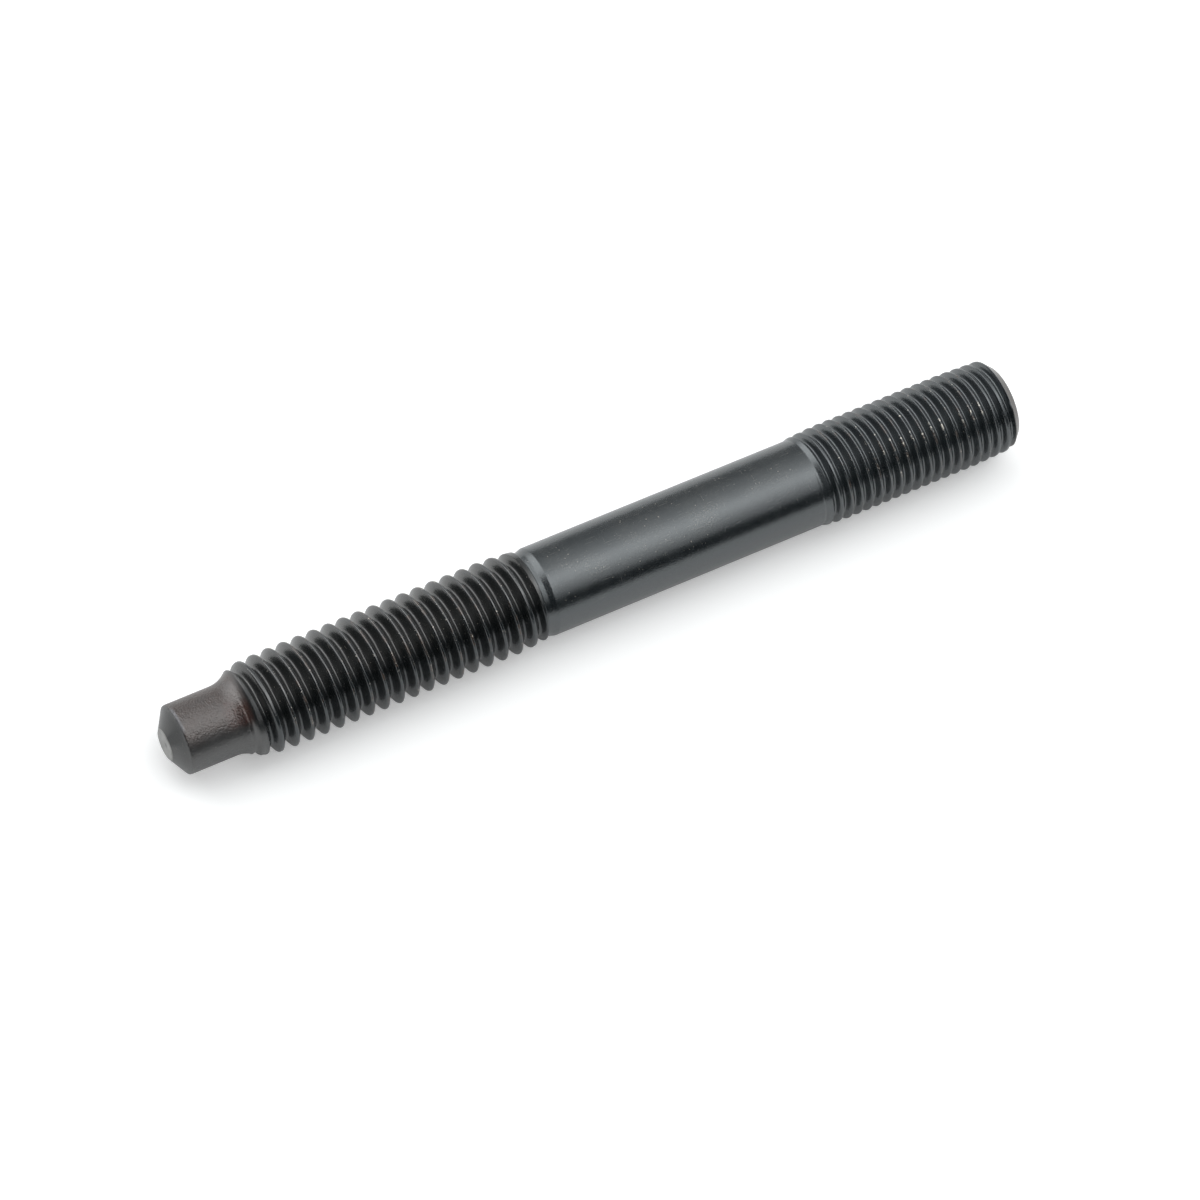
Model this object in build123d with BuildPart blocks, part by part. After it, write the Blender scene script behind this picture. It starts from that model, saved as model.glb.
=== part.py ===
"""Double ended stud: one turned and thread-rolled steel piece.

The stud lies along X. The origin is on its axis at the shoulder, where the run-out of the
block thread meets the plain shank. The nose points to -X and the nut end to +X. All
lengths are in millimetres and all angles in degrees.
"""

import os
from math import ceil, cos, radians, sqrt, tan

from build123d import *

INCH = 25.4

# ---- Lengths along the axis ----
block_end_length = 45.2  # tip of the nose to the shoulder
shank_length = 32.8  # shoulder to the start of the nut thread
nut_end_length = 26.3  # start of the nut thread to the end face

# ---- Diameters ----
crest_diameter = 11.06  # both threads: 7/16 in, less the class 2A allowance
shank_diameter = 10.29
blank_diameter = 9.9  # what the block thread is rolled on: the neck and the flare's end
nose_diameter = 8.03
nose_tip_diameter = 3.5
end_face_diameter = 8.76

# ---- Threads: unified form, right-handed ----
block_threads_per_inch = 14
nut_threads_per_inch = 20
flank_angle = 30.0  # between a flank and the plane square to the axis
crest_flat_share = 1 / 8  # crest flat, as a share of the pitch
depth_share = 17 / 24 * sqrt(3) / 2  # crest to root, as a share of the pitch
groove_overlap = 0.12  # how far a groove's section reaches past the crest
runout_angle = 22.0  # slope of the root where a groove runs out

# ---- Nose: dog point that guides the stud into its hole ----
nose_cone_angle = 60.0  # between the cone and the axis
nose_length = 7.17  # tip to the start of the flare
flare_radius = 3.0
block_groove_lead = 0.626  # how far ahead of the flare the groove starts, in the air

# ---- Crest line of the block thread ----
lead_in_drop = 0.15  # below the full crest, where the steep lead-in ends
lead_in_length = 1.5
lead_taper_length = 3.2  # from there to the full crest
runout_drop = 0.33  # below the full crest, where the last crest ends
runout_taper_length = 2.9
neck_chamfer_length = 0.25  # drop from the last crest to the neck
neck_length = 0.45
neck_cone_length = 0.6  # rise from the neck to the shank
block_full_groove_end = 2.37  # last full-depth groove to the shoulder

# ---- Crest line of the nut thread ----
first_crest_rise = 0.185  # above the shank
first_crest_length = 1.3
nut_taper_length = 2.9  # from the first crest to the full crest
nut_full_groove_start = 1.98  # start of the thread to the first full-depth groove
end_taper_drop = 0.2  # below the full crest, where the end chamfer starts
end_taper_length = 4.7
end_chamfer_angle = 45.0


class Thread:
    """Sizes of one unified thread, worked out from its pitch."""

    def __init__(self, threads_per_inch):
        self.pitch = INCH / threads_per_inch
        self.depth = depth_share * self.pitch
        self.root_radius = crest_diameter / 2 - self.depth
        self.cut_depth = self.depth + groove_overlap
        slope = tan(radians(flank_angle))
        groove_width = self.pitch * (1 - crest_flat_share)
        self.root_flat = groove_width - 2 * self.depth * slope
        self.mouth_width = groove_width + 2 * groove_overlap * slope


block_thread = Thread(block_threads_per_inch)
nut_thread = Thread(nut_threads_per_inch)

# ---- Radii of the blank ----
crest_radius = crest_diameter / 2
shank_radius = shank_diameter / 2
blank_radius = blank_diameter / 2
nose_radius = nose_diameter / 2
nose_tip_radius = nose_tip_diameter / 2
end_face_radius = end_face_diameter / 2
end_taper_radius = crest_radius - end_taper_drop

# ---- Stations along the axis, from the tip to the end face ----
tip_x = -block_end_length
nose_edge_x = tip_x + (nose_radius - nose_tip_radius) / tan(radians(nose_cone_angle))
flare_x = tip_x + nose_length
flare_rise = blank_radius - nose_radius
flare_end_x = flare_x + sqrt(flare_rise * (2 * flare_radius - flare_rise))
lead_in_x = flare_end_x + lead_in_length
neck_end_x = -neck_cone_length
neck_x = neck_end_x - neck_length
runout_x = neck_x - neck_chamfer_length
nut_start_x = shank_length
first_crest_x = nut_start_x + first_crest_length
end_x = nut_start_x + nut_end_length
end_chamfer_length = (end_taper_radius - end_face_radius) / tan(radians(end_chamfer_angle))
end_chamfer_x = end_x - end_chamfer_length

# ---- Grooves: where each full-depth stretch starts along the top, and its turns ----
block_groove_x = flare_x - block_groove_lead
block_turns = round((-block_full_groove_end - block_groove_x) / block_thread.pitch)
block_runout_x = block_groove_x + block_turns * block_thread.pitch
nut_groove_x = nut_start_x + nut_full_groove_start
nut_turns = ceil((end_x + nut_thread.mouth_width / 2 - nut_groove_x) / nut_thread.pitch)
nut_runout_x = nut_groove_x - nut_thread.pitch
nut_runout_radius = nut_thread.root_radius + nut_thread.pitch * tan(radians(runout_angle))


def cut_groove_turn(thread, start_x, start_radius, cone_angle=0.0):
    """Cut one right-hand turn of a groove. On a cone it rises or sinks towards +X."""
    with BuildLine() as path:
        Helix(
            pitch=thread.pitch / cos(radians(cone_angle)),
            height=thread.pitch,
            radius=start_radius,
            center=(start_x, 0, 0),
            direction=(1, 0, 0),
            cone_angle=cone_angle,
        )
    start = path.line @ 0
    outward = Vector(0, start.Y, start.Z)
    along = Vector(1, 0, 0)
    with BuildSketch(Plane(start, x_dir=along, z_dir=along.cross(outward))) as section:
        with BuildLine():
            Polyline(
                (-thread.root_flat / 2, 0),
                (thread.root_flat / 2, 0),
                (thread.mouth_width / 2, thread.cut_depth),
                (-thread.mouth_width / 2, thread.cut_depth),
                close=True,
            )
        make_face()
    sweep(section.sketch, path=path.line, is_frenet=True, mode=Mode.SUBTRACT)


def cut_full_groove(thread, start_x, turns):
    """Cut the full-depth stretch of a groove, one turn after another."""
    for turn in range(turns):
        cut_groove_turn(thread, start_x + turn * thread.pitch, thread.root_radius)


with BuildPart() as stud:
    # Turned outline, which is the line of the crests where there is thread
    with BuildSketch(Plane.XZ):
        with BuildLine():
            Polyline(
                (end_x, 0),
                (tip_x, 0),
                (tip_x, nose_tip_radius),
                (nose_edge_x, nose_radius),
                (flare_x, nose_radius),
            )
            TangentArc((flare_x, nose_radius), (flare_end_x, blank_radius), tangent=(1, 0))
            Polyline(
                (flare_end_x, blank_radius),
                (lead_in_x, crest_radius - lead_in_drop),
                (lead_in_x + lead_taper_length, crest_radius),
                (runout_x - runout_taper_length, crest_radius),
                (runout_x, crest_radius - runout_drop),
                (neck_x, blank_radius),
                (neck_end_x, blank_radius),
                (0, shank_radius),
                (nut_start_x, shank_radius),
                (first_crest_x, shank_radius + first_crest_rise),
                (first_crest_x + nut_taper_length, crest_radius),
                (end_chamfer_x - end_taper_length, crest_radius),
                (end_chamfer_x, end_taper_radius),
                (end_x, end_face_radius),
                (end_x, 0),
            )
        make_face()
    revolve(axis=Axis.X)

    # Block thread, which runs out in the neck beside the shoulder
    cut_full_groove(block_thread, block_groove_x, block_turns)
    cut_groove_turn(block_thread, block_runout_x, block_thread.root_radius, runout_angle)

    # Nut thread, which starts from the shank and leaves through the end face
    cut_groove_turn(nut_thread, nut_runout_x, nut_runout_radius, -runout_angle)
    cut_full_groove(nut_thread, nut_groove_x, nut_turns)

stud.part.label = "stud"
os.makedirs("parts", exist_ok=True)
export_step(stud.part, "parts/stud.step")
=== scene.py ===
import math
from collections import namedtuple

import bpy
import numpy as np
from mathutils import Matrix, Vector


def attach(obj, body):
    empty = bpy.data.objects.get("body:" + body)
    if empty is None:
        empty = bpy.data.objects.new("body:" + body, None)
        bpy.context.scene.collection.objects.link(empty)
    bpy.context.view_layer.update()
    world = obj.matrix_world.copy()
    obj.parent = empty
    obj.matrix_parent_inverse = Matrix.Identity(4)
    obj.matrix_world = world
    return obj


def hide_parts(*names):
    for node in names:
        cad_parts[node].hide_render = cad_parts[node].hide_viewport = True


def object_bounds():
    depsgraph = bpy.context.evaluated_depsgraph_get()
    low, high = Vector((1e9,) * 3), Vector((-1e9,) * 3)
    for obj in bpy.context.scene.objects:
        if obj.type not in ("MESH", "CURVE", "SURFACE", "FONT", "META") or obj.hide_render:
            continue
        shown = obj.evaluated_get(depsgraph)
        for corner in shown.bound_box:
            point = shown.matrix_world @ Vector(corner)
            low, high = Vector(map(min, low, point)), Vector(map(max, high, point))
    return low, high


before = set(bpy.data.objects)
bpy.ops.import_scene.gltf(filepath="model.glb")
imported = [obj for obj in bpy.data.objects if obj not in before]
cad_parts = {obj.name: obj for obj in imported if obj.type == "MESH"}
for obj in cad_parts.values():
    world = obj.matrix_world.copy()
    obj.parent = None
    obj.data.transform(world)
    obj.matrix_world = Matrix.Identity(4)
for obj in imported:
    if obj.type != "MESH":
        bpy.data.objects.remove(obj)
cad_low, cad_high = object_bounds()

MM = 0.001
INCH = 25.4
TURN = 2 * math.pi

# ---- Sizes in millimetres: x runs along the axis, from the shoulder towards the nut end ----
TIP_X = cad_low.x / MM
END_X = cad_high.x / MM
CREST_R = min(cad_high.z, cad_high.y) / MM
SHANK_R = 5.145
NECK_R = 4.95
NOSE_R = 4.015
NOSE_TIP_R = 1.75
CONE_TAN = math.tan(math.radians(60.0))
CONE_EXTRA = 0.12  # the cone is this much longer than its angle alone would make it
NOSE_EDGE_X = TIP_X + CONE_EXTRA + (NOSE_R - NOSE_TIP_R) / CONE_TAN
NOSE_EDGE_DROP = 0.037  # the edge of the nose's cone is eased by this much
NOSE_EDGE_LENGTH = 0.3
NOSE_END_X = TIP_X + 6.9
PIP_Y, PIP_Z = -0.23, 0.33  # a small pip on the nose's flat, which is dished
PIP_HEIGHT = 0.05
PIP_SPREAD = 0.1
TIP_DISH = 0.01

FLARE_R = 3.5
LIP_LENGTH, LIP_RISE = 0.45, 0.055  # past the flare: a lip, a lead-in, then a slight taper
LEAD_IN_LENGTH, LEAD_IN_DROP = 1.5, 0.15
TAPER_LENGTH = 4.7
START_LINE_X = (-36.88, -36.36)
START_LINE_WIDTH = 0.08
START_LINE_HEIGHT = 0.055
START_LINE_FROM, START_LINE_RISE = 85, 45  # degrees
START_LINE_TO, START_LINE_FALL = 230, 30
START_LINE_MIDDLE = 115
START_LINE_SLANT = 0.25  # in 90 degrees

CREST_FALL_X = -4.2  # the block thread's crests fall from here to the last one
LAST_CREST_X, LAST_CREST_DROP = -1.12, 0.33
NECK_X, NECK_DROP = -1.07, 0.125
NECK_END_X, NECK_END_DROP = -0.48, 0.02
GROOVE_FADE_X, GROOVE_FADE_LENGTH = -1.36, 0.28  # the neck past the last groove is smooth
SHANK_X = 0.18
SHANK_END_X = 32.6
FIRST_CREST_X, FIRST_CREST_RISE = 32.9, 0.1  # the nut thread's first crests rise over the shank
NEXT_CREST_X, NEXT_CREST_RISE = 34.1, 0.185
FULL_CREST_X = 37.0
RIDGE_X, RIDGE_ANGLE, RIDGE_SLOPE = 32.8, math.radians(205.0), math.tan(math.radians(18.0))
RIDGE_BEGIN = 0.15  # the ridge fades in over this share of a turn
END_FACE_R = 4.38
END_CHAMFER = 0.95
END_CHAMFER_X = END_X - END_CHAMFER
CORNER_WIDTH = 0.13  # corners in the line of the crests are rounded over this length

# a groove's depth and width, as shares of the pitch, and its flanks
DEPTH_SHARE = 17 / 24 * math.sqrt(3) / 2
GROOVE_SHARE = 7 / 8
FLANK_TAN = math.tan(math.radians(30.0))
RUNOUT_SLOPE = 0.42

# groove_x is the centre of a groove at angle 0; grooves centred outside full_from..full_to get shallower
Thread = namedtuple("Thread", "pitch groove_x full_from full_to crest_round")
BLOCK = Thread(INCH / 14, -35.48, -99.0, -1.75, 0.16)
NUT = Thread(INCH / 20, 34.46, 34.6, 99.0, 0.11)

# ---- Mesh density ----
COLUMNS = 116
FLANK_ROWS = 4
ROOT_SHARES = (0.0, 0.45, 0.87)  # rows on a groove's rounded bottom, over its radius
FLANK_END_SHARE = -0.62  # rows near a crest's corner, over the rounding of the crest
CORNER_SHARES = (-0.3, 0.05, 0.4)
FLARE_POINTS = 14
BLOCK_FROM, BLOCK_TO = NOSE_END_X + 0.6, -1.65
NECK_TO, NECK_ROW_GAP = 0.26, 0.05
NUT_FROM, NUT_TO = 32.2, END_X
NOSE_ROWS = [TIP_X, TIP_X + 0.04, TIP_X + 0.1, TIP_X + 0.35, TIP_X + 0.7, TIP_X + 1.0]
NOSE_ROWS += [NOSE_EDGE_X + d for d in (-0.12, -0.06, -0.03, 0.0, 0.03, 0.06, 0.12, 0.26, 0.34)]
NOSE_ROWS += list(np.linspace(NOSE_EDGE_X + 0.6, NOSE_END_X - 0.2, 8))
NOSE_ROWS += list(np.linspace(NOSE_END_X, BLOCK_FROM, 4))
SHANK_ROWS = [0.32, 0.5, *np.linspace(1.5, NUT_FROM - 0.4, 17), NUT_FROM]
TIP_RINGS = (1.66, 1.3, 0.9, 0.6, 0.35, 0.15)
END_RINGS = (4.2, 3.4, 2.2, 1.0)
KEYS_PER_MM = 1e4  # points of one column whose x rounds to the same step are one vertex
SHARP_ANGLE = math.radians(38)


def smooth(share):
    return share * share * (3 - 2 * share)


# ---- The line of the crests, and of the plain steel between them ----
def flare_line():
    """Points (x, r) of the flare between the nose and the block thread."""
    rise = NECK_R - NOSE_R
    run = math.sqrt(rise * (2 * FLARE_R - rise))
    xs = np.linspace(0, run, FLARE_POINTS)
    return [(NOSE_END_X + x, NOSE_R + FLARE_R - math.sqrt(FLARE_R**2 - x**2)) for x in xs]


FLARE = flare_line()
FLARE_END_X = FLARE[-1][0]
LINE = [
    (TIP_X, NOSE_TIP_R),
    (NOSE_EDGE_X, NOSE_R - NOSE_EDGE_DROP),
    (NOSE_EDGE_X + NOSE_EDGE_LENGTH, NOSE_R),
    *FLARE,
    (FLARE_END_X + LIP_LENGTH, NECK_R + LIP_RISE),
    (FLARE_END_X + LEAD_IN_LENGTH, CREST_R - LEAD_IN_DROP),
    (FLARE_END_X + TAPER_LENGTH, CREST_R),
    (CREST_FALL_X, CREST_R),
    (LAST_CREST_X, CREST_R - LAST_CREST_DROP),
    (NECK_X, NECK_R - NECK_DROP),
    (NECK_END_X, NECK_R - NECK_END_DROP),
    (SHANK_X, SHANK_R),
    (SHANK_END_X, SHANK_R),
    (FIRST_CREST_X, SHANK_R + FIRST_CREST_RISE),
    (NEXT_CREST_X, SHANK_R + NEXT_CREST_RISE),
    (FULL_CREST_X, CREST_R),
    (END_CHAMFER_X - TAPER_LENGTH, CREST_R),
    (END_CHAMFER_X, END_FACE_R + END_CHAMFER),
    (END_X, END_FACE_R),
]
LINE_X, LINE_R = (np.array(v) for v in zip(*LINE))


def rounded_line(gap=0.01):
    """The line with its corners slightly rounded, as finely spaced x and r."""
    xs = np.arange(TIP_X, END_X + gap / 2, gap)
    rs = np.interp(xs, LINE_X, LINE_R)
    n = int(CORNER_WIDTH / gap) | 1
    pad = np.pad(rs, n // 2, mode="reflect", reflect_type="odd")
    return xs, np.convolve(pad, np.ones(n) / n, mode="valid")


ROUND_X, ROUND_R = rounded_line()


def crest_line(x):
    return np.interp(x, ROUND_X, ROUND_R)


# ---- Threads ----
def root_round(pitch):
    """Radius of the rounding at the bottom of a groove."""
    return (GROOVE_SHARE * pitch / 2 - DEPTH_SHARE * pitch * FLANK_TAN) / FLANK_TAN


def groove_height(offset, pitch):
    """Height of a groove's side above its root, at a distance along the axis from its centre."""
    round_r = root_round(pitch)
    away = np.abs(offset)
    arc = round_r - np.sqrt(np.maximum(round_r**2 - away**2, 0.0))
    side = away / FLANK_TAN - round_r
    return np.where(away < round_r * math.cos(math.radians(30.0)), arc, side)


def soft_min(a, b, width):
    """The smaller of a and b, with a rounded change from one to the other."""
    near = np.maximum(width - np.abs(a - b), 0.0) / width
    return np.minimum(a, b) - near * near * width / 4


def first_ridge(x, angle):
    """The shank ends in a step that follows the nut thread's helix for one turn."""
    turned = np.mod(angle - RIDGE_ANGLE, TURN) / TURN
    begun = smooth(np.clip(turned / RIDGE_BEGIN, 0, 1))
    edge = RIDGE_X + NUT.pitch * (turned + (1 - begun))
    return SHANK_R + np.maximum(x - edge, 0) * RIDGE_SLOPE


def thread_radius(x, angle, thread, crest):
    """Radius of a threaded stretch whose grooves are cut into the given crests."""
    phase = (x - thread.groove_x) / thread.pitch - angle / TURN
    offset = (phase - np.round(phase)) * thread.pitch
    centre = x - offset
    past = np.maximum(centre - thread.full_to, 0) + np.maximum(thread.full_from - centre, 0)
    root = CREST_R - DEPTH_SHARE * thread.pitch + RUNOUT_SLOPE * past
    return soft_min(crest, root + groove_height(offset, thread.pitch), thread.crest_round)


def start_lines(x, angle):
    """Two faint raised lines on the flare, where the first thread starts, round its lower side."""
    degrees = np.degrees(angle)
    begun = np.clip((degrees - START_LINE_FROM) / START_LINE_RISE, 0, 1)
    left = np.clip((START_LINE_TO - degrees) / START_LINE_FALL, 0, 1)
    slant = START_LINE_SLANT * (degrees - START_LINE_MIDDLE) / 90
    rings = sum(np.exp(-(((x - at - slant) / START_LINE_WIDTH) ** 2)) for at in START_LINE_X)
    return START_LINE_HEIGHT * (begun * left) * rings


def block_radius(x, angle):
    crest = crest_line(x)
    radius = thread_radius(x, angle, BLOCK, crest)
    plain = smooth(np.clip((x - GROOVE_FADE_X) / GROOVE_FADE_LENGTH, 0, 1))
    return radius + (crest - radius) * plain + start_lines(x, angle)


def nut_radius(x, angle):
    return thread_radius(x, angle, NUT, np.minimum(crest_line(x), first_ridge(x, angle)))


def plain_radius(x, angle):
    return crest_line(x) + 0 * angle


# ---- Mesh ----
verts, faces, lookup = [], [], {}
angles = np.arange(COLUMNS + 1) * TURN / COLUMNS


def add_point(x, r, angle):
    verts.append((x * MM, r * math.cos(angle) * MM, r * math.sin(angle) * MM))
    return len(verts) - 1


def vertex(x, r, column):
    """The vertex at one place along one column; it is made once."""
    key = (round(x * KEYS_PER_MM), column % COLUMNS)
    if key not in lookup:
        lookup[key] = add_point(x, r, angles[column % COLUMNS])
    return lookup[key]


def add_grid(xs, radius):
    """Add the faces of a grid whose rows run round the stud; rows that meet are joined."""
    rs = radius(xs, angles[None, :])
    ids = [[vertex(x, r, j) for j, (x, r) in enumerate(zip(*row))] for row in zip(xs, rs)]
    for low, high in zip(ids, ids[1:]):
        for j in range(COLUMNS):
            ring = [low[j], low[j + 1], high[j + 1], high[j]]
            face = [v for k, v in enumerate(ring) if v != ring[k - 1]]
            if len(face) > 2:
                faces.append(face)


def add_rings(stations, radius=plain_radius):
    """A stretch whose rows are rings."""
    add_grid(np.array(stations)[:, None] + 0 * angles[None, :], radius)


def row_offsets(thread):
    """Places of the rows in one pitch, from one groove's centre to the next."""
    round_r = root_round(thread.pitch)
    corner = GROOVE_SHARE * thread.pitch / 2
    flank_end = corner + FLANK_END_SHARE * thread.crest_round
    half = [share * round_r for share in ROOT_SHARES]
    half += list(np.linspace(half[-1], flank_end, FLANK_ROWS)[1:])
    half += [corner + share * thread.crest_round for share in CORNER_SHARES]
    half = np.array(half)
    return np.concatenate([half, [thread.pitch / 2], thread.pitch - half[:0:-1]])


def add_thread(start, end, thread, radius):
    """Rows follow the helix, so the crests and roots stay crisp; they stop at both ends."""
    first = math.floor((start - thread.groove_x) / thread.pitch) - 2
    last = math.ceil((end - thread.groove_x) / thread.pitch) + 1
    offsets = row_offsets(thread)
    rows = [thread.groove_x + k * thread.pitch + offsets for k in range(first, last + 1)]
    xs = np.concatenate(rows)[:, None] + thread.pitch * angles[None, :] / TURN
    add_grid(np.clip(xs, start, end), radius)


def tip_mark(r, angle):
    """Height of the nose's flat, which is very slightly dished, with a small pip beside its middle."""
    dy, dz = r * math.cos(angle) - PIP_Y, r * math.sin(angle) - PIP_Z
    return TIP_DISH + PIP_HEIGHT * math.exp(-(dy * dy + dz * dz) / PIP_SPREAD)


def flat(r, angle):
    return 0.0


def add_cap(x, radii, height, flip):
    """Close an end with rings of faces and a point in the middle."""
    def add_face(face):
        faces.append(face[::-1] if flip else face)

    ring = [lookup[(round(x * KEYS_PER_MM), j)] for j in range(COLUMNS)]
    for r in radii:
        inner = [add_point(x + height(r, a), r, a) for a in angles[:COLUMNS]]
        for j in range(COLUMNS):
            k = (j + 1) % COLUMNS
            add_face([ring[j], ring[k], inner[k], inner[j]])
        ring = inner
    centre = add_point(x + height(0.0, 0.0), 0.0, 0.0)
    for j in range(COLUMNS):
        add_face([ring[j], ring[(j + 1) % COLUMNS], centre])


def add_stud():
    """The whole surface, from the nose to the end face."""
    add_rings(NOSE_ROWS)
    add_thread(BLOCK_FROM, BLOCK_TO, BLOCK, block_radius)
    neck_rows = np.arange(BLOCK_TO, NECK_TO, NECK_ROW_GAP)
    add_rings(neck_rows, block_radius)
    add_rings([neck_rows[-1], *SHANK_ROWS])
    add_thread(NUT_FROM, NUT_TO, NUT, nut_radius)
    add_cap(TIP_X, TIP_RINGS, tip_mark, flip=True)
    add_cap(END_X, END_RINGS, flat, flip=False)


def add_object(name, data):
    made = bpy.data.objects.new(name, data)
    bpy.context.scene.collection.objects.link(made)
    return made


add_stud()
mesh = bpy.data.meshes.new("stud_finished")
mesh.from_pydata(verts, [], faces)
mesh.validate()
mesh.update()
mesh.polygons.foreach_set("use_smooth", [True] * len(mesh.polygons))
mesh.set_sharp_from_angle(angle=SHARP_ANGLE)
stud = add_object("stud_finished", mesh)

# ---- Shader nodes: colours are (red, green, blue) ----
tree = None


def start_nodes(owner):
    """Empty the owner's node tree; the nodes made next go into it."""
    global tree
    owner.use_nodes = True
    tree = owner.node_tree
    tree.nodes.clear()


def new_material(name):
    material = bpy.data.materials.new(name)
    start_nodes(material)
    return material


def node(kind, **settings):
    made = tree.nodes.new("ShaderNode" + kind)
    for key, value in settings.items():
        setattr(made, key, value)
    return made


def feed(socket, value):
    """Link a node's output to a socket, or write a plain value on it."""
    if isinstance(value, bpy.types.NodeSocket):
        tree.links.new(value, socket)
    elif socket.type == "RGBA":
        socket.default_value = (*value, 1)
    else:
        socket.default_value = value


def feed_all(made, values):
    """Feed a node's first inputs, in order."""
    for socket, value in zip(made.inputs, values):
        feed(socket, value)
    return made.outputs


def calc(operation, *values):
    return feed_all(node("Math", operation=operation), values)[0]


def times(first, *others):
    for other in others:
        first = calc("MULTIPLY", first, other)
    return first


def scaled(value, factor, plus):
    return calc("MULTIPLY_ADD", value, factor, plus)


def vector(operation, *values, output="Vector"):
    return feed_all(node("VectorMath", operation=operation), values)[output]


def split(where):
    """The x, y and z of a place or a direction."""
    return feed_all(node("SeparateXYZ"), [where])


def step(value, low, high, bottom=0.0, top=1.0):
    """A smooth step from bottom, below low, to top, above high."""
    made = node("MapRange", interpolation_type="SMOOTHSTEP")
    return feed_all(made, (value, low, high, bottom, top))[0]


def window(value, start, full, fall, end, before=0.0, after=0.0):
    """1 from full to fall, with smooth steps from before, below start, and to after, above end."""
    return times(step(value, start, full, before, 1.0), step(value, fall, end, 1.0, after))


def noise(where, scale, detail=2.0, roughness=0.5):
    made = node("TexNoise")
    feed(made.inputs["Vector"], where)
    feed(made.inputs["Scale"], scale)
    feed(made.inputs["Detail"], detail)
    feed(made.inputs["Roughness"], roughness)
    return made.outputs[0]


def dots(where, scale, size, share, seed):
    """Small round specks of one size, in a share of a grid's cells."""
    cells = node("TexVoronoi")
    feed(cells.inputs["Vector"], vector("ADD", where, (seed, 2.3 * seed, 4.1 * seed)))
    feed(cells.inputs["Scale"], scale)
    chance = feed_all(node("SeparateColor"), [cells.outputs["Color"]])[0]
    near = step(cells.outputs["Distance"], size * scale, 0.6 * size * scale)
    return times(near, calc("LESS_THAN", chance, share))


def blend(factor, a, b):
    """Colour a where the factor is 0, colour b where it is 1."""
    made = node("Mix", data_type="RGBA")
    feed(made.inputs[0], factor)
    feed(made.inputs[6], a)  # inputs 6 and 7 and output 2 are the ones for colours
    feed(made.inputs[7], b)
    return made.outputs[2]


# ---- Black oxide steel: values ----
OXIDE = (0.005, 0.008, 0.010)
OXIDE_PATCH = (0.014, 0.017, 0.019)
NUT_OXIDE = (0.012, 0.016, 0.018)
NOSE_OXIDE = (0.032, 0.019, 0.015)
NOSE_GREY = (0.012, 0.012, 0.012)
FLARE_RUST = (0.046, 0.017, 0.013)
FLARE_TOP_PALE = (0.062, 0.050, 0.046)
# a painted highlight along the upper side of the nose cone's edge
EDGE_HIGHLIGHT = (0.085, 0.085, 0.095)
TIP_STEEL = (0.27, 0.265, 0.25)
# in the block thread's grooves: a little warmer and less blue than the oxide
GROOVE_TONE = (0.0062, 0.0074, 0.0078)
CREST_BROWN = (0.045, 0.030, 0.022)
CHAMFER_BROWN = (0.022, 0.016, 0.013)
# pale steel for the bare nicks, and for the painted glints
BARE_STEEL_AND_GLINT = (0.72, 0.67, 0.59)
DUST = (0.36, 0.33, 0.28)

# colours of the gloss
SHANK_TINT = (0.935, 0.98, 1.0)
# the chamfer's gloss: brownish, its own tone, and darker, a painted shade
CHAMFER_SHADE_TINT = (0.80, 0.76, 0.73)
# painted shade on the block thread's gloss: darker in the grooves, and darker on the under side
BLOCK_UPPER_TINTS = (0.965, 0.965, 0.955), (0.78, 0.775, 0.76)  # on the crests, in the grooves
BLOCK_UNDER_SHADE_TINTS = (0.66, 0.69, 0.70), (0.54, 0.565, 0.58)
NOSE_UPPER_TINT = (0.93, 0.895, 0.88)
NOSE_UNDER_TINT = (0.92, 0.915, 0.91)
FLARE_NEAR_TINT = (0.66, 0.60, 0.58)
# painted shade: the cone's gloss darkens from the flat towards the edge
CONE_SHADE_TINTS = (0.96, 0.96, 0.955), (0.76, 0.76, 0.755)  # near the flat, near the edge
# painted shade: the cone's gloss is darker on its near side
CONE_FRONT_SHADE_TINT = (0.70, 0.70, 0.70)
# painted shade on the first, half-formed crest
FIRST_CREST_SHADE_TINT = (0.38, 0.38, 0.38)

# stretches along the axis in millimetres: each starts, is full, falls and ends
BLOCK_RUN = (-36.6, -35.9, -1.5, -0.9)
GRAIN_RUN = (-44.0, -43.7, -37.1, -36.4)
FLARE_RUN = (-39.4, -38.2, -36.4, -35.6)
FLARE_NEAR_RUN = (-38.1, -37.4, -36.2, -35.8)
FLARE_TOP_RUN = (-38.0, -37.0, -35.5, -35.0)
FIRST_CREST_RUN = (-36.5, -36.35, -35.35, -35.2)
EDGE_RUN = [NOSE_EDGE_X + d for d in (-0.08, 0.02, 0.2, 0.36)]
SHANK_RUN = (0.0, 1.0, 31.5, 32.5)
# where the painted glints lie along the nut thread
GLINT_RUN = (40.0, 43.0, 54.0, 57.0)

# arcs round the axis in radians, from the far side over the top: each starts, is full, falls and ends
# where the painted glints lie round the nut thread
GLINT_ARC = (1.80, 1.90, 2.03, 2.14)
EDGE_ARC = (0.9, 1.15, 1.75, 2.0)
FLARE_ARC = (1.45, 1.7, 2.15, 2.45)
FLARE_NEAR_ARC = (1.75, 1.92, 2.15, 2.45)
FLARE_TOP_ARC = (0.9, 1.2, 1.6, 1.8)
CONE_FRONT_ARC = (1.5, 1.75, 2.1, 2.35)
FIRST_CREST_ARC = (1.1, 1.75, 2.12, 2.35)
LIT_ARC = (1.5, 1.8, 2.05, 2.25)
UNDER_ARC = (0.48, 0.93, 2.4, 2.9)  # from the top, down the near side

# how strongly each mark shows, in the colour
PATCH_SHARE = 0.35
SCRATCH_SHARE = 0.14
SPECK_SHARE = 0.55
# for the bare nicks and the painted glints
NICK_AND_GLINT_SHARE = 0.8
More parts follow.
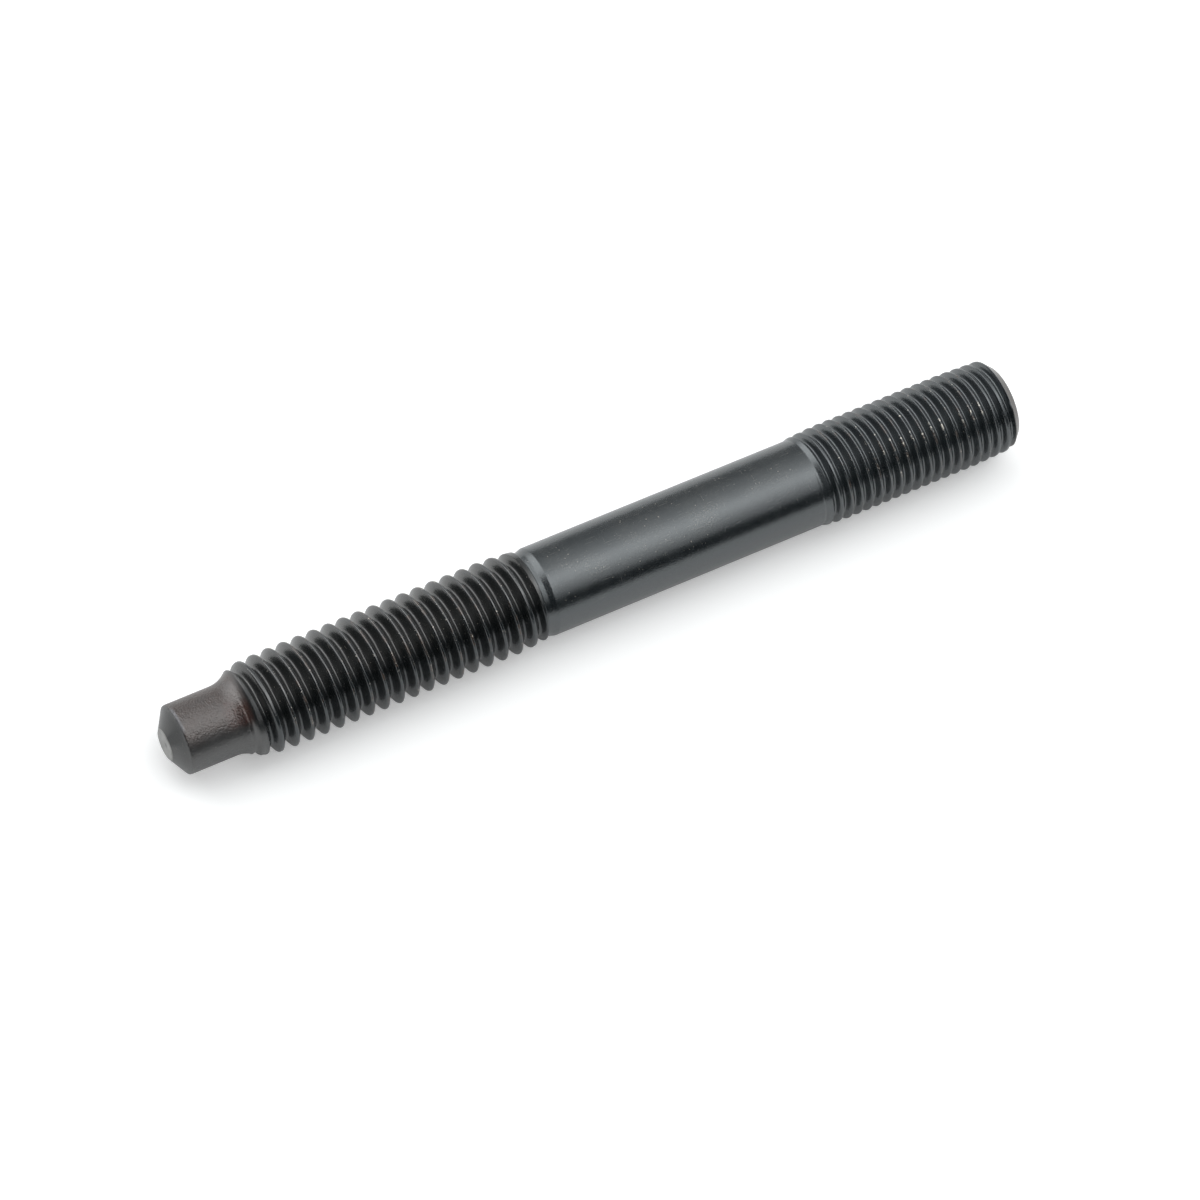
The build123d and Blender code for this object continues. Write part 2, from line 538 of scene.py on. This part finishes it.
# the dust haze, and the extra haze in the lit band, a painted sheen
HAZE_SHARE, LIT_HAZE_SHARE = 0.08, 0.10
THREAD_HAZE_LOSS = -0.85

# gloss
IOR = 1.96
# the bare nicks and the painted glints are partly metal
NICK_AND_GLINT_METAL = 0.45
NOSE_ROUGH, FLARE_ROUGH = 0.355, 0.30
BLOCK_SMOOTHER = 0.065  # past the flare, the steel is smoother by this much
MOTTLE_ROUGH = 0.12
CREST_ROUGH = -0.05

# relief in millimetres
GRAIN_HEIGHT, UNDER_GRAIN_HEIGHT = 0.085, -0.05
MOTTLE_HEIGHT = 0.010
FINE_HEIGHT, LIT_FINE_HEIGHT = 0.013, 0.012

# ---- Black oxide steel: where things lie ----
steel = new_material("black_oxide_steel")
in_mm = vector("MULTIPLY", node("TexCoord").outputs["Object"], (1 / MM, 1 / MM, 1 / MM))
along, across, up = split(in_mm)
radius = vector("LENGTH", vector("MULTIPLY", in_mm, (0.0, 1.0, 1.0)), output="Value")
around = calc("ARCTAN2", up, across)
from_top = calc("ARCTAN2", times(across, -1.0), up)

nose = step(along, -35.5, -34.8, 1.0, 0.0)
cone = step(along, NOSE_EDGE_X - 0.06, NOSE_EDGE_X + 0.09, 1.0, 0.0)
block = window(along, *BLOCK_RUN)
nut = step(along, 33.3, 34.2)
chamfer = step(along, END_CHAMFER_X, END_X - 0.75)
threads = calc("ADD", block, nut)
crest = times(threads, step(radius, CREST_R - 0.12, CREST_R - 0.03))
deep = times(threads, step(radius, CREST_R - 0.25, CREST_R - 0.12, 1.0, 0.0))
under = window(from_top, *UNDER_ARC)
lit = window(around, *LIT_ARC)

# ---- Black oxide steel: marks ----
grain = noise(in_mm, 4.6, 1.5, 0.5)
mottle = noise(in_mm, 0.9, 3.0, 0.6)
fine = noise(in_mm, 6.0, 2.0, 0.6)
patchy = step(noise(in_mm, 0.16, 1.0), 0.42, 0.60, 0.08, 1.0)

# small bare nicks on the crests, and painted glints on the nut thread's crests, in the arc where they
# catch the light
nicked = times(crest, step(noise(in_mm, 2.6, 3.0, 0.7), 0.63, 0.69))
painted_glints = times(window(around, *GLINT_ARC), window(along, *GLINT_RUN))
painted_glints = times(painted_glints, step(noise(in_mm, 2.3), 0.53, 0.59))
nicks_and_glints = calc("MAXIMUM", nicked, times(crest, painted_glints))

# long thin scratches, some along the axis and some across it
scratch_a = noise(vector("MULTIPLY", in_mm, (0.5, 9.0, 9.0)), 1.3, 1.0)
scratch_b = noise(vector("MULTIPLY", in_mm, (7.0, 0.6, 2.5)), 1.1, 1.0)
scratch = calc("MAXIMUM", step(scratch_a, 0.70, 0.73), step(scratch_b, 0.72, 0.75))

# dust: specks mostly on the upper side and none on the nose, and a haze that the threads hardly have,
# stronger in the lit band, where the extra is a painted sheen
specks = calc("MAXIMUM", dots(in_mm, 0.8, 0.11, 0.40, 1.7), dots(in_mm, 1.9, 0.08, 0.40, 8.2))
specks = times(specks, patchy, calc("SUBTRACT", 1.0, nose), step(up, 2.5, 4.4, 0.15, 1.0))
haze_and_sheen = times(step(fine, 0.42, 0.72), step(up, 3.0, 4.8), scaled(lit, LIT_HAZE_SHARE, HAZE_SHARE))
haze_and_sheen = times(haze_and_sheen, scaled(threads, THREAD_HAZE_LOSS, 1.0), patchy)

# the edge of the nose's cone has a painted highlight along its upper side, the cone's gloss is darkened
# on its near side as a painted shade, and the nose's flat is bright steel, apart from the pip
edge = times(window(along, *EDGE_RUN), window(around, *EDGE_ARC))
pip_distance = vector("DISTANCE", in_mm, (TIP_X, PIP_Y, PIP_Z), output="Value")
tip = times(step(along, TIP_X + 0.06, TIP_X + 0.09, 1.0, 0.0), step(pip_distance, 0.1, 0.4, 0.3, 1.0))
cone_front_shade = times(cone, window(around, *CONE_FRONT_ARC))

# the flare is rusty from the top down its near side, paler on top, and its gloss is darker and warmer on
# its near side
flare = times(window(along, *FLARE_RUN), window(around, *FLARE_ARC))
flare_near = times(window(along, *FLARE_NEAR_RUN), window(around, *FLARE_NEAR_ARC))
flare_top = times(window(along, *FLARE_TOP_RUN), window(around, *FLARE_TOP_ARC))

# the first, half-formed crest's gloss is darkened on the side where it begins, a painted shade
first_crest_shade = times(window(along, *FIRST_CREST_RUN), window(around, *FIRST_CREST_ARC))

# ---- Black oxide steel: colour, where each layer lies over the ones before it ----
nose_colour = blend(calc("MAXIMUM", under, cone), NOSE_OXIDE, NOSE_GREY)
colour = blend(nose, blend(nut, OXIDE, NUT_OXIDE), nose_colour)
for factor, layer in (
    (times(flare, step(grain, 0.3, 0.55)), FLARE_RUST),
    (times(flare_top, step(grain, 0.25, 0.6, 0.5, 1.0)), FLARE_TOP_PALE),
    (tip, TIP_STEEL),
    # painted highlight on the edge of the nose's cone
    (edge, EDGE_HIGHLIGHT),
    (times(deep, block), GROOVE_TONE),
    (times(step(mottle, 0.35, 0.7), PATCH_SHARE), OXIDE_PATCH),
    (times(crest, step(mottle, 0.5, 0.62)), CREST_BROWN),
    (chamfer, CHAMFER_BROWN),
    (times(scratch, SCRATCH_SHARE), DUST),
    # dust haze, with a painted sheen in the lit band
    (haze_and_sheen, DUST),
    (times(specks, SPECK_SHARE), DUST),
    # bare nicks, and painted glints on the nut thread's crests
    (times(nicks_and_glints, NICK_AND_GLINT_SHARE), BARE_STEEL_AND_GLINT),
):
    colour = blend(factor, colour, layer)

# ---- Black oxide steel: gloss ----
rough = step(along, -37.5, -36.7, NOSE_ROUGH, FLARE_ROUGH)
rough = calc("SUBTRACT", rough, step(along, -35.4, -34.7, 0.0, BLOCK_SMOOTHER))
rough = calc("ADD", rough, times(calc("SUBTRACT", mottle, 0.5), MOTTLE_ROUGH))
rough = scaled(crest, CREST_ROUGH, rough)
# the cone's gloss darkens towards its edge, a painted shade
cone_shade_tint = blend(step(along, TIP_X + 0.2, TIP_X + 1.1), *CONE_SHADE_TINTS)
nose_tint = blend(cone, blend(under, NOSE_UPPER_TINT, NOSE_UNDER_TINT), cone_shade_tint)
nose_tint = blend(flare_near, nose_tint, FLARE_NEAR_TINT)
# painted shade on the near side of the cone
nose_tint = blend(cone_front_shade, nose_tint, CONE_FRONT_SHADE_TINT)
# painted shade: the block thread's gloss is darker in its grooves and on its under side
block_shade_tint = blend(under, blend(deep, *BLOCK_UPPER_TINTS), blend(deep, *BLOCK_UNDER_SHADE_TINTS))
tint = blend(block, SHANK_TINT, block_shade_tint)
# the end chamfer's gloss is brownish and darker, a painted shade
tint = blend(chamfer, tint, CHAMFER_SHADE_TINT)
tint = blend(nose, tint, nose_tint)
tint = blend(first_crest_shade, tint, FIRST_CREST_SHADE_TINT)

# ---- Black oxide steel: relief ----
grained = times(nose, window(along, *GRAIN_RUN, before=0.15, after=0.2))
lit_shank = times(lit, window(along, *SHANK_RUN))
height = times(grain, grained, scaled(under, UNDER_GRAIN_HEIGHT, GRAIN_HEIGHT))
height = scaled(mottle, MOTTLE_HEIGHT, height)
height = scaled(fine, scaled(lit_shank, LIT_FINE_HEIGHT, FINE_HEIGHT), height)
relief = node("Bump")
feed(relief.inputs["Distance"], MM)
feed(relief.inputs["Height"], height)

bsdf = node("BsdfPrincipled")
feed(bsdf.inputs["Base Color"], colour)
feed(bsdf.inputs["Metallic"], times(nicks_and_glints, NICK_AND_GLINT_METAL))
feed(bsdf.inputs["Roughness"], rough)
feed(bsdf.inputs["IOR"], IOR)
feed(bsdf.inputs["Specular Tint"], tint)
feed(bsdf.inputs["Normal"], relief.outputs[0])
feed(node("OutputMaterial").inputs[0], bsdf.outputs[0])
stud.data.materials.append(steel)

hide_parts("stud")
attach(stud, "root")

# ---- Floor: white paper under the crests, which glows a little for the camera and in reflections ----
FLOOR_HALF = 3.0  # metres
PAPER = (0.91, 0.91, 0.905)
CAMERA_GLOW = 0.315
GLOSS_GLOW = 0.08

corners = [(-FLOOR_HALF, -FLOOR_HALF, 0), (FLOOR_HALF, -FLOOR_HALF, 0)]
corners += [(FLOOR_HALF, FLOOR_HALF, 0), (-FLOOR_HALF, FLOOR_HALF, 0)]
floor_mesh = bpy.data.meshes.new("floor")
floor_mesh.from_pydata(corners, [], [(0, 1, 2, 3)])
floor = add_object("floor", floor_mesh)
floor.location.z = -CREST_R * MM

paper = new_material("white_paper")
diffuse = node("BsdfDiffuse")
feed(diffuse.inputs["Color"], PAPER)
rays = node("LightPath").outputs
in_gloss = calc("MAXIMUM", rays["Is Glossy Ray"], rays["Is Transmission Ray"])
glow = node("Emission")
glow_level = calc("MAXIMUM", times(in_gloss, GLOSS_GLOW), times(rays["Is Camera Ray"], CAMERA_GLOW))
feed(glow.inputs["Strength"], glow_level)
glowing_paper = feed_all(node("AddShader"), (diffuse.outputs[0], glow.outputs[0]))[0]
feed(node("OutputMaterial").inputs[0], glowing_paper)
floor.data.materials.append(paper)

# ---- Camera ----
CAMERA_AT = (-199.4, -267.5, 566.4)
CAMERA_RIGHT = Vector((0.8783, -0.4674, 0.1010))
CAMERA_BACK = Vector((-0.3122, -0.4010, 0.8612))

camera_data = bpy.data.cameras.new("camera")
camera_data.sensor_width = 36.0
camera_data.lens = 180.0
camera_data.clip_start = 0.01
camera_data.clip_end = 20.0
camera = add_object("camera", camera_data)
back = CAMERA_BACK.normalized()
right = (CAMERA_RIGHT - back * CAMERA_RIGHT.dot(back)).normalized()
facing = Matrix((right, back.cross(right), back)).transposed().to_4x4()
camera.matrix_world = Matrix.Translation([v * MM for v in CAMERA_AT]) @ facing
bpy.context.scene.camera = camera

# ---- Studio light: a sky that is bright overhead and dark behind the camera's side ----
# Rows are (degrees, brightness): the degrees run round the stud's axis, from the far horizon,
# over the top, to the near horizon. BRIGHTEST is the most that a row can hold.
BRIGHTEST = 2.7
SKY = [
    (0, 0.34), (28, 0.38), (47, 0.74), (60, 1.0), (79, 1.55), (88, 2.05), (101, 2.68), (113, 2.32),
    (124, 1.7), (136, 1.12), (145, 0.66), (149, 0.21), (153, 0.03), (180, 0.03),
]
# a lamp on the far side, seen by faces turned towards the nose
LAMP = [(0, 0.9), (12, 1.7), (30, 2.6), (64, 2.6), (76, 2.1), (88, 0.5), (96, 0.0)]
# two dark parts of the near side: a row's value over BRIGHTEST is the share of the sky's light they hide
CAMERA_SHADE = [(0, 0.0), (83, 0.0), (92, 2.6), (180, 2.6)]  # towards the nose end, where the camera is
CORNER_SHADE = [(0, 0.0), (100, 0.0), (114, 2.3), (180, 2.3)]  # towards the nut end
SKY_TINT = (0.97, 0.99, 1.0)
WHITE = (1.0, 1.0, 1.0)

world = bpy.data.worlds.new("studio")
bpy.context.scene.world = world
start_nodes(world)
to_nut, to_far, to_top = split(node("TexCoord").outputs["Generated"])
angle_share = calc("DIVIDE", calc("ARCTAN2", to_top, to_far), math.pi)


def round_axis(stops):
    """The values of the rows over BRIGHTEST, by the angle round the stud's axis."""
    ramp = node("ValToRGB")
    elements = ramp.color_ramp.elements
    elements.remove(elements[0])
    elements[0].position = 0.0
    for k, (degrees, value) in enumerate(stops):
        stop = elements[0] if k == 0 else elements.new(degrees / 180)
        stop.color = [value / BRIGHTEST] * 3 + [1]
    feed(ramp.inputs[0], angle_share)
    return ramp.outputs[0]


lamp = times(round_axis(LAMP), step(to_nut, -0.04, 0.16, 1.0, 0.0))
camera_shade = times(round_axis(CAMERA_SHADE), step(to_nut, -0.2, -0.06, 1.0, 0.0))
corner_shade = times(round_axis(CORNER_SHADE), step(to_nut, 0.42, 0.58))
open_share = calc("SUBTRACT", 1.0, calc("MAXIMUM", camera_shade, corner_shade))
bright = calc("MAXIMUM", times(round_axis(SKY), open_share), lamp)
end_shade = step(to_nut, -0.85, -0.3, 0.07, 1.0)  # the sky is dark beyond the nose end
strength = times(bright, end_shade, BRIGHTEST)
seen = node("LightPath").outputs["Is Camera Ray"]  # the camera sees plain white instead
sky = node("Background")
feed(sky.inputs["Color"], blend(seen, SKY_TINT, WHITE))
feed(sky.inputs["Strength"], calc("ADD", times(strength, calc("SUBTRACT", 1.0, seen)), seen))
feed(node("OutputWorld").inputs[0], sky.outputs[0])

bpy.context.scene.view_settings.view_transform = "Standard"
